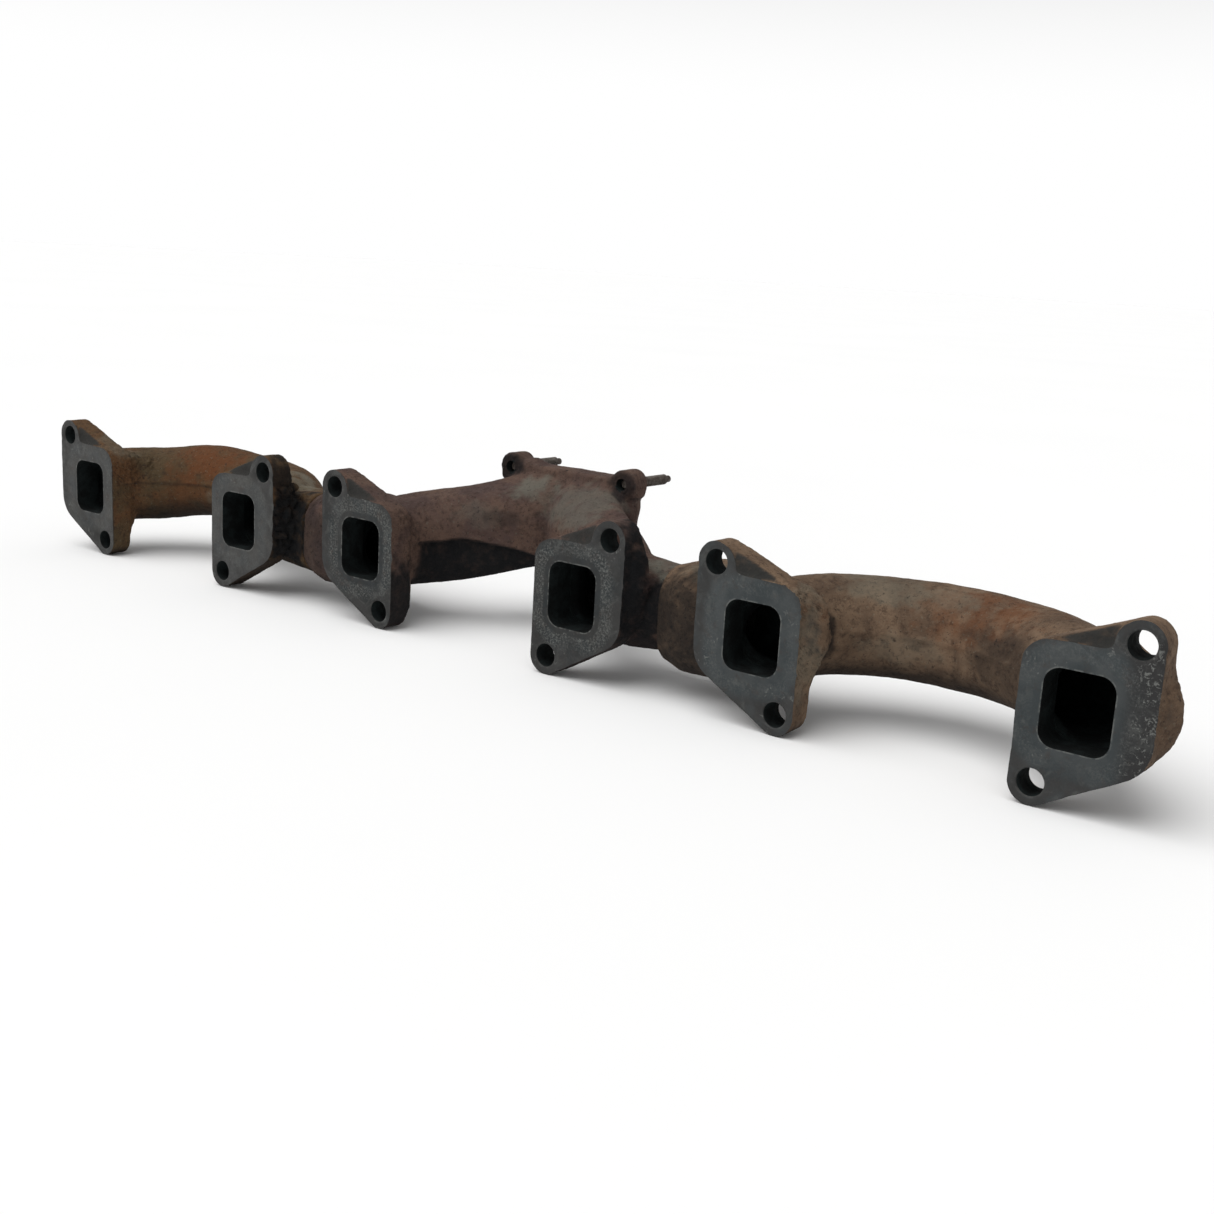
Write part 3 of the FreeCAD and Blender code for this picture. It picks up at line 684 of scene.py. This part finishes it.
def colour_layers(piece, seed):
    """Writes how much of each stain and of the painted shade there is at each point."""
    mesh = piece.data
    points = points_of(mesh)
    normals = normals_of(mesh)
    # Painted shade: darker on faces that turn downwards.
    underside_shade = smoothstep(-normals[:, 2], 0.25, 0.85)
    for index, (name, places) in enumerate(STAINS_AND_SHADE.items()):
        layer = np.zeros(len(points))
        for centre, reach, amount in places[piece.name]:
            layer = np.maximum(layer, amount * patch_strength(points, centre, reach, seed + 20 * index))
        if name == "dark":
            layer = np.maximum(layer, 0.8 * underside_shade)
        if name == "dark" and piece.name == "centre_casting":
            # Painted shade: darker just below the runners' parting line, on faces towards the head.
            line, on_runner = runner_line(points, seed)
            towards_head = smoothstep(-normals[:, 1], -0.3, 0.3)
            layer = np.maximum(layer, towards_head * on_runner * smoothstep(line - points[:, 2], 0, 1.4 * MM))
        elif name == "dark":
            line, on_tube = arch_line(piece.name, points, seed)
            shadow = ridge(points[:, 2] - line + 1.3 * MM, 0.8 * MM)
            layer = np.maximum(layer, ARCH_LINE_DARK[piece.name] * on_tube * shadow)
        write_layer(mesh, name, layer)
    cast_front = smoothstep(-normals[:, 1], 0.5, 0.8) * (points[:, 1] < FACE_Y + 9 * MM)
    write_layer(mesh, "cast_front", cast_front)


def write_layer(mesh, name, values):
    layer = mesh.attributes.new(name, "FLOAT", "POINT")
    layer.data.foreach_set("value", values.astype(np.float32))


# ---------------------------------------------------------------- materials

class Shader:
    """Short names for the node calls that every material here makes."""

    def __init__(self, name):
        self.material = bpy.data.materials.new(name)
        self.material.use_nodes = True
        self.tree = self.material.node_tree
        self.surface = self.tree.nodes["Principled BSDF"]
        self.place = self.tree.nodes.new("ShaderNodeTexCoord").outputs["Object"]
        split = self.tree.nodes.new("ShaderNodeSeparateXYZ")
        self.tree.links.new(self.place, split.inputs["Vector"])
        self.x, self.z = split.outputs["X"], split.outputs["Z"]

    def put(self, socket, value):
        if isinstance(value, bpy.types.NodeSocket):
            self.tree.links.new(value, socket)
        elif isinstance(value, tuple):
            socket.default_value = (*value, 1)
        else:
            socket.default_value = value

    def noise(self, size, detail=4, roughness=0.55, stretch=(1, 1, 1), warp=0.0):
        """Noise with features of that size in metres."""
        mapping = self.tree.nodes.new("ShaderNodeMapping")
        mapping.inputs["Scale"].default_value = [part / size for part in stretch]
        self.put(mapping.inputs["Vector"], self.place)
        node = self.tree.nodes.new("ShaderNodeTexNoise")
        self.put(node.inputs["Vector"], mapping.outputs["Vector"])
        node.inputs["Scale"].default_value = 1
        node.inputs["Detail"].default_value = detail
        node.inputs["Roughness"].default_value = roughness
        node.inputs["Distortion"].default_value = warp
        return node.outputs["Fac"]

    def cells(self, size, feature="F1"):
        mapping = self.tree.nodes.new("ShaderNodeMapping")
        mapping.inputs["Scale"].default_value = [1 / size] * 3
        self.put(mapping.inputs["Vector"], self.place)
        node = self.tree.nodes.new("ShaderNodeTexVoronoi")
        node.feature = feature
        node.inputs["Scale"].default_value = 1
        self.put(node.inputs["Vector"], mapping.outputs["Vector"])
        return node.outputs["Distance"]

    def layer(self, name):
        node = self.tree.nodes.new("ShaderNodeAttribute")
        node.attribute_name = name
        return node.outputs["Fac"]

    def pointiness(self):
        return self.tree.nodes.new("ShaderNodeNewGeometry").outputs["Pointiness"]

    def span(self, value, start, end, low=0.0, high=1.0):
        """Low before start, high after end, smooth between."""
        node = self.tree.nodes.new("ShaderNodeMapRange")
        node.interpolation_type = "SMOOTHSTEP"
        for socket, number in zip(node.inputs[:5], (value, start, end, low, high)):
            self.put(socket, number)
        return node.outputs["Result"]

    def maths(self, operation, one, two):
        node = self.tree.nodes.new("ShaderNodeMath")
        node.operation = operation
        self.put(node.inputs[0], one)
        self.put(node.inputs[1], two)
        return node.outputs["Value"]

    def times(self, one, two):
        return self.maths("MULTIPLY", one, two)

    def from_box(self, place, half_width=0.0, half_height=0.0):
        """Distance from an upright rectangle, looking along Y."""
        squares = []
        for axis, middle, half in ((self.x, place.x, half_width), (self.z, place.z, half_height)):
            offset = self.maths("ABSOLUTE", self.maths("SUBTRACT", axis, middle), 0)
            outside = self.maths("MAXIMUM", self.maths("SUBTRACT", offset, half), 0)
            squares.append(self.times(outside, outside))
        return self.maths("SQRT", self.maths("ADD", *squares), 0)

    def least(self, values):
        smallest = values[0]
        for value in values[1:]:
            smallest = self.maths("MINIMUM", smallest, value)
        return smallest

    def mix(self, factor, one, two):
        node = self.tree.nodes.new("ShaderNodeMix")
        node.data_type = "RGBA"
        self.put(node.inputs["Factor"], factor)
        self.put(node.inputs["A"], one)
        self.put(node.inputs["B"], two)
        return node.outputs["Result"]

    def bump(self, height, depth, strength=1.0, under=None):
        node = self.tree.nodes.new("ShaderNodeBump")
        node.inputs["Strength"].default_value = strength
        node.inputs["Distance"].default_value = depth
        self.put(node.inputs["Height"], height)
        if under is not None:
            self.put(node.inputs["Normal"], under)
        return node.outputs["Normal"]

    def done(self, colour, roughness, metallic=0.0, specular=0.3, normal=None):
        self.put(self.surface.inputs["Base Color"], colour)
        self.put(self.surface.inputs["Roughness"], roughness)
        self.put(self.surface.inputs["Metallic"], metallic)
        self.surface.inputs["Specular IOR Level"].default_value = specular
        if normal is not None:
            self.put(self.surface.inputs["Normal"], normal)
        return self.material


BROWN = (0.102, 0.053, 0.025)
OLIVE = (0.072, 0.049, 0.026)
DEEP_BROWN = (0.034, 0.022, 0.017)
ORANGE = (0.112, 0.040, 0.015)
ROSE = (0.100, 0.062, 0.047)
PLUM = (0.066, 0.042, 0.037)
SAND = (0.166, 0.110, 0.071)
UMBER = (0.091, 0.059, 0.039)
PALE = (0.150, 0.138, 0.105)
GREENISH = (0.118, 0.116, 0.095)
CAST_GREY = (0.029, 0.028, 0.026)
BLACK = (0.006, 0.007, 0.008)
LIGHT_IRON = (0.150, 0.155, 0.145)
SMEARED_IRON = (0.080, 0.083, 0.078)
GRIME = (0.027, 0.026, 0.025)
BURNT_IRON = (0.014, 0.013, 0.013)
FACE_TONES = {
    "front": ((0.044, 0.043, 0.040), (0.036, 0.038, 0.038)),
    "centre": ((0.022, 0.022, 0.021), (0.015, 0.018, 0.019)),
    "rear": ((0.040, 0.045, 0.046), (0.026, 0.032, 0.034)),
}
SOOT = (0.004, 0.005, 0.005)
SOOT_GREEN = (0.010, 0.014, 0.014)
STUD_BROWN = (0.055, 0.040, 0.032)
STUD_GREY = (0.11, 0.095, 0.082)
STUD_BRIGHT = (0.24, 0.23, 0.21)
RING_GREY = (0.16, 0.15, 0.145)
RING_BROWN = (0.09, 0.07, 0.075)
PAPER = ((0.86, 0.86, 0.86), (0.89, 0.89, 0.885))


def rusted_skin(name, base, second, pale_tone):
    """Old cast iron: mottled brown scale over fine grit, with stains and painted shade read from the mesh,
    and painted shade in hollows.
    """
    s = Shader(name)
    blotches = s.noise(24 * MM, 6, 0.62, warp=0.6)
    speckle = s.noise(3.2 * MM, 6, 0.7)
    colour = s.mix(s.span(blotches, 0.36, 0.64), base, second)
    colour = s.mix(s.span(speckle, 0.48, 0.68, 0, 0.62), colour, DEEP_BROWN)
    orange = s.times(s.layer("orange"), s.span(s.noise(11 * MM, 5, 0.6), 0.28, 0.62))
    colour = s.mix(s.times(orange, 0.85), colour, ORANGE)
    pale = s.times(s.layer("pale"), s.span(s.noise(14 * MM, 4, 0.55, warp=0.4), 0.22, 0.55))
    colour = s.mix(pale, colour, pale_tone)
    colour = s.mix(s.span(s.noise(1.3 * MM, 4, 0.7), 0.58, 0.70, 0, 0.5), colour, pale_tone)
    colour = s.mix(s.span(s.noise(1.7 * MM, 5, 0.7), 0.43, 0.31, 0, 0.7), colour, BLACK)
    front = s.times(s.layer("cast_front"), s.span(s.noise(6 * MM, 4, 0.6), 0.25, 0.5, 0.75, 1))
    colour = s.mix(front, colour, CAST_GREY)
    # The dark layer holds soot and crust, and painted shade on undersides, below parting lines and beside the
    # flanges.
    soot_and_shade = s.times(s.layer("dark"), s.span(s.noise(5 * MM, 5, 0.65), 0.25, 0.55, 0.8, 0.97))
    colour = s.mix(soot_and_shade, colour, BLACK)
    # Painted shade: darker in hollows and creases, by pointiness.
    crevice_shade = s.span(s.pointiness(), 0.43, 0.5, 0.6, 0)
    colour = s.mix(crevice_shade, colour, BLACK)
    normal = s.bump(s.noise(2.2 * MM, 6, 0.65), 0.95 * MM)
    grain = s.maths("ADD", s.times(s.noise(0.9 * MM, 3, 0.6), 0.6), s.times(s.cells(5 * MM), 0.25))
    normal = s.bump(grain, 0.18 * MM, under=normal)
    return s.done(colour, s.span(speckle, 0.3, 0.7, 0.78, 0.97), 0.0, 0.12, normal)


def machined_iron(name, ports, grey, bluish, print_strength, burnt=None):
    """Milled face with a gasket's print round each port, light flecks, grime and bright rims.

    Near the burnt place, the face is darker and flakes.
    """
    s = Shader(name)
    fine = s.noise(1.1 * MM, 8, 0.8)
    colour = s.mix(s.span(s.noise(18 * MM, 5, 0.6), 0.38, 0.62), grey, bluish)
    colour = s.mix(s.span(s.noise(5 * MM, 6, 0.7), 0.52, 0.72, 0, 0.5), colour, DEEP_BROWN)
    inner_width, inner_height = PORT_HALF[0] - PORT_CORNER, PORT_HALF[1] - PORT_CORNER
    from_port = s.least([s.from_box(PORTS[number], inner_width, inner_height) for number in ports])
    from_bolt = s.least([s.from_box(place) for number in ports for place in bolt_places(number)])
    grime = s.times(s.span(from_port, PORT_CORNER + 8 * MM, PORT_CORNER + 13 * MM),
                    s.span(s.noise(7 * MM, 5, 0.6), 0.35, 0.6, 0.4, 0.9))
    colour = s.mix(grime, colour, GRIME)
    if burnt is not None:
        from_burnt = s.from_box(burnt, 3 * MM, 22 * MM)
        colour = s.mix(s.span(from_burnt, 5 * MM, 12 * MM, 0.75, 0), colour, BURNT_IRON)
        flaked = s.span(s.noise(1.8 * MM, 5, 0.7, warp=0.8), 0.56, 0.63)
        colour = s.mix(s.times(flaked, s.span(from_burnt, 2 * MM, 9 * MM, 0.7, 0)), colour, LIGHT_IRON)
    print_ring = s.times(s.span(from_port, PORT_CORNER + 2.6 * MM, PORT_CORNER + 3.8 * MM),
                         s.span(from_port, PORT_CORNER + 8 * MM, PORT_CORNER + 12 * MM, 1, 0))
    mottle = s.times(s.span(fine, 0.46, 0.64), s.span(s.noise(14 * MM, 3, 0.5), 0.35, 0.6, 0.3, 1))
    colour = s.mix(s.times(s.times(print_ring, mottle), print_strength), colour, LIGHT_IRON)
    smears = s.times(s.span(s.noise(8 * MM, 6, 0.7, warp=0.8), 0.50, 0.68),
                     s.span(from_port, PORT_CORNER + 2 * MM, PORT_CORNER + 6 * MM, 0.1, 0.4))
    colour = s.mix(smears, colour, SMEARED_IRON)
    chips = s.times(s.span(s.noise(2.2 * MM, 5, 0.65, warp=0.5), 0.60, 0.66),
                    s.span(s.noise(12 * MM, 3, 0.5), 0.54, 0.64, 0, 0.6))
    colour = s.mix(chips, colour, LIGHT_IRON)
    rims = s.maths("MAXIMUM", s.span(from_port, PORT_CORNER + 0.2 * MM, PORT_CORNER + 0.8 * MM, 1, 0),
                   s.span(from_bolt, BOLT_RADIUS + 0.4 * MM, BOLT_RADIUS + 1.0 * MM, 0.3, 0))
    colour = s.mix(s.times(rims, s.span(s.noise(3 * MM, 4, 0.6), 0.42, 0.6, 0, 0.5)), colour, LIGHT_IRON)
    normal = s.bump(s.noise(2.4 * MM, 5, 0.6), 0.16 * MM)
    normal = s.bump(fine, 0.10 * MM, under=normal)
    return s.done(colour, s.span(s.noise(4 * MM, 4, 0.6), 0.3, 0.7, 0.45, 0.7), 0.0, 0.25, normal)


def sooty_way():
    s = Shader("sooty_way")
    colour = s.mix(s.span(s.noise(7 * MM, 4, 0.6), 0.4, 0.65), SOOT, SOOT_GREEN)
    normal = s.bump(s.noise(1.6 * MM, 4, 0.65), 0.25 * MM)
    return s.done(colour, s.span(s.noise(3 * MM, 3, 0.5), 0.3, 0.7, 0.75, 0.95), 0.0, 0.15, normal)


def stud_steel():
    s = Shader("stud_steel")
    colour = s.mix(s.span(s.noise(2.5 * MM, 5, 0.65), 0.42, 0.6), STUD_BROWN, STUD_GREY)
    worn = s.span(s.pointiness(), 0.52, 0.6)
    colour = s.mix(s.times(worn, 0.5), colour, STUD_BRIGHT)
    normal = s.bump(s.noise(0.8 * MM, 4, 0.6), 0.08 * MM)
    return s.done(colour, s.span(s.noise(2 * MM, 3, 0.5), 0.3, 0.7, 0.5, 0.8), 0.5, 0.4, normal)


def ring_steel():
    s = Shader("ring_steel")
    colour = s.mix(s.span(s.noise(3 * MM, 4, 0.6), 0.4, 0.62), RING_GREY, RING_BROWN)
    normal = s.bump(s.noise(0.6 * MM, 2, 0.5, stretch=(1, 0.2, 0.2)), 0.03 * MM)
    return s.done(colour, s.span(s.noise(2 * MM, 3, 0.5), 0.3, 0.7, 0.35, 0.55), 0.8, 0.5, normal)


# ---------------------------------------------------------------- studs

THREAD_PITCH = 1.0 * MM
THREAD_DEPTH = 0.55 * MM
WAIST = (0.5 * MM, 8 * MM)        # bare length, from the turbocharger face
WAIST_DEPTH = 0.45 * MM
DOG_POINT = 4 * MM                # turned-down outer end
DOG_POINT_DEPTH = 0.9 * MM
END_CHAMFER = 1.2 * MM


def turbo_stud(node):
    """Stud with a rolled thread at both ends, a bare waist and a dog point."""
    low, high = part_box(node)
    axis_x, axis_z = (low.x + high.x) / 2, (low.z + high.z) / 2
    sides, rows_each = 28, 10
    rows = round((high.y - low.y) / THREAD_PITCH * rows_each)
    made = bmesh.new()
    rings = []
    for row in range(rows + 1):
        y = low.y + (high.y - low.y) * row / rows
        ring = []
        for side in range(sides):
            turn = side / sides
            phase = (y / THREAD_PITCH - turn) % 1
            crest = TAP_RADIUS if y < TURBO_Y else STUD_RADIUS
            radius = crest - THREAD_DEPTH * (1 - min(1.0, 1.35 * (1 - abs(2 * phase - 1))))
            if TURBO_Y + WAIST[0] < y < TURBO_Y + WAIST[1]:
                radius = crest - WAIST_DEPTH
            end = min(y - low.y, high.y - y)
            radius = min(radius, crest - END_CHAMFER + 0.9 * end)
            if y > high.y - DOG_POINT:
                radius = min(radius, crest - DOG_POINT_DEPTH)
            across, rise = radius * math.cos(math.tau * turn), radius * math.sin(math.tau * turn)
            ring.append(made.verts.new((axis_x + across, y, axis_z + rise)))
        rings.append(ring)
    for one, two in zip(rings, rings[1:]):
        for k in range(sides):
            n = (k + 1) % sides
            made.faces.new([one[k], one[n], two[n], two[k]])
    made.faces.new(rings[0])
    made.faces.new(rings[-1])
    mesh = finished(made)
    mesh.set_sharp_from_angle(angle=math.radians(40))
    piece = new_piece(f"{node}_threaded", mesh)
    mesh.polygons.foreach_set("use_smooth", [True] * len(mesh.polygons))
    return piece


# ---------------------------------------------------------------- building it

front_skin = rusted_skin("rust_on_front", BROWN, OLIVE, PALE)
centre_skin = rusted_skin("rust_on_centre", ROSE, PLUM, GREENISH)
rear_skin = rusted_skin("rust_on_rear", SAND, UMBER, PALE)
way = sooty_way()
steel = stud_steel()
ring_metal = ring_steel()

front_iron = machined_iron("machined_front", (1, 2), *FACE_TONES["front"], 0.3)
centre_iron = machined_iron("machined_centre", (3, 4), *FACE_TONES["centre"], 0.7)
rear_iron = machined_iron("machined_rear", (5, 6), *FACE_TONES["rear"], 0.22, burnt=beside(6, 29, 0, 4))

CASTINGS = [
    ("front", (1, 2), FRONT_MOUTH, None, (front_skin, front_iron, way), 1),
    ("centre", (3, 4), REAR_MOUTH, FRONT_MOUTH, (centre_skin, centre_iron, way), 2),
    ("rear", (5, 6), None, REAR_MOUTH, (rear_skin, rear_iron, way), 3),
]
for body, ports, spigot_mouth, socket_mouth, materials, seed in CASTINGS:
    node = f"{body}_section"
    piece = cast_blank(node)
    roughen(piece, seed)
    machine(piece, ports, spigot_mouth, socket_mouth)
    piece.data.materials.clear()
    for material in materials:
        piece.data.materials.append(material)
    sort_faces(piece, ports, spigot_mouth, socket_mouth)
    colour_layers(piece, seed)
    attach(piece, body)
    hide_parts(node)

for node, part in frame["nodes"].items():
    if node.startswith("turbo_stud"):
        stud = turbo_stud(node)
        stud.data.materials.append(steel)
        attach(stud, "centre")
        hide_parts(node)
    elif "seal_ring" in node:
        for slot in part.material_slots:
            slot.material = ring_metal

# ---------------------------------------------------------------- floor, light and camera

floor_z = cad_box[0].z - 0.3 * MM
floor = new_piece("floor", prism(box_outline((-20, floor_z - 0.02), (20, floor_z)), -20, 20))
paper = Shader("pale_floor")
tone = paper.mix(paper.noise(0.4, 3, 0.5), *PAPER)
floor.data.materials.append(paper.done(tone, 0.85, 0.0, 0.1))

sun = bpy.data.lights.new("soft_top_light", "SUN")
sun.energy = 2.4
sun.angle = math.radians(70)
lamp = bpy.data.objects.new("soft_top_light", sun)
lamp.rotation_euler = Vector((0.30, 0.42, -1)).to_track_quat("-Z", "Y").to_euler()
bpy.context.scene.collection.objects.link(lamp)

# White round the horizon, dimmer overhead.
world = bpy.data.worlds.new("studio")
world.use_nodes = True
nodes, links = world.node_tree.nodes, world.node_tree.links
height = nodes.new("ShaderNodeSeparateXYZ")
links.new(nodes.new("ShaderNodeTexCoord").outputs["Generated"], height.inputs["Vector"])
fade = nodes.new("ShaderNodeMapRange")
fade.interpolation_type = "SMOOTHSTEP"
for socket, number in zip(fade.inputs[1:5], (0.10, 0.35, 1.0, 0.45)):
    socket.default_value = number
links.new(height.outputs["Z"], fade.inputs["Value"])
links.new(fade.outputs["Result"], nodes["Background"].inputs["Strength"])
nodes["Background"].inputs["Color"].default_value = (1.0, 1.0, 1.0, 1)
bpy.context.scene.world = world
bpy.context.scene.view_settings.view_transform = "Standard"

# The photograph's viewing angle, solved from the port openings and bolt holes.
camera = bpy.data.objects.new("camera", bpy.data.cameras.new("camera"))
bpy.context.scene.collection.objects.link(camera)
camera.data.lens = 44.611
camera.data.sensor_width = 36
camera.location = (0.49546, -0.61596, 0.13469)
right = Vector((0.78496, 0.61712, 0.05481))
up = Vector((-0.18054, 0.14322, 0.97308))
back = right.cross(up)
camera.rotation_euler = Matrix((right, up, back)).transposed().to_euler()
bpy.context.scene.camera = camera
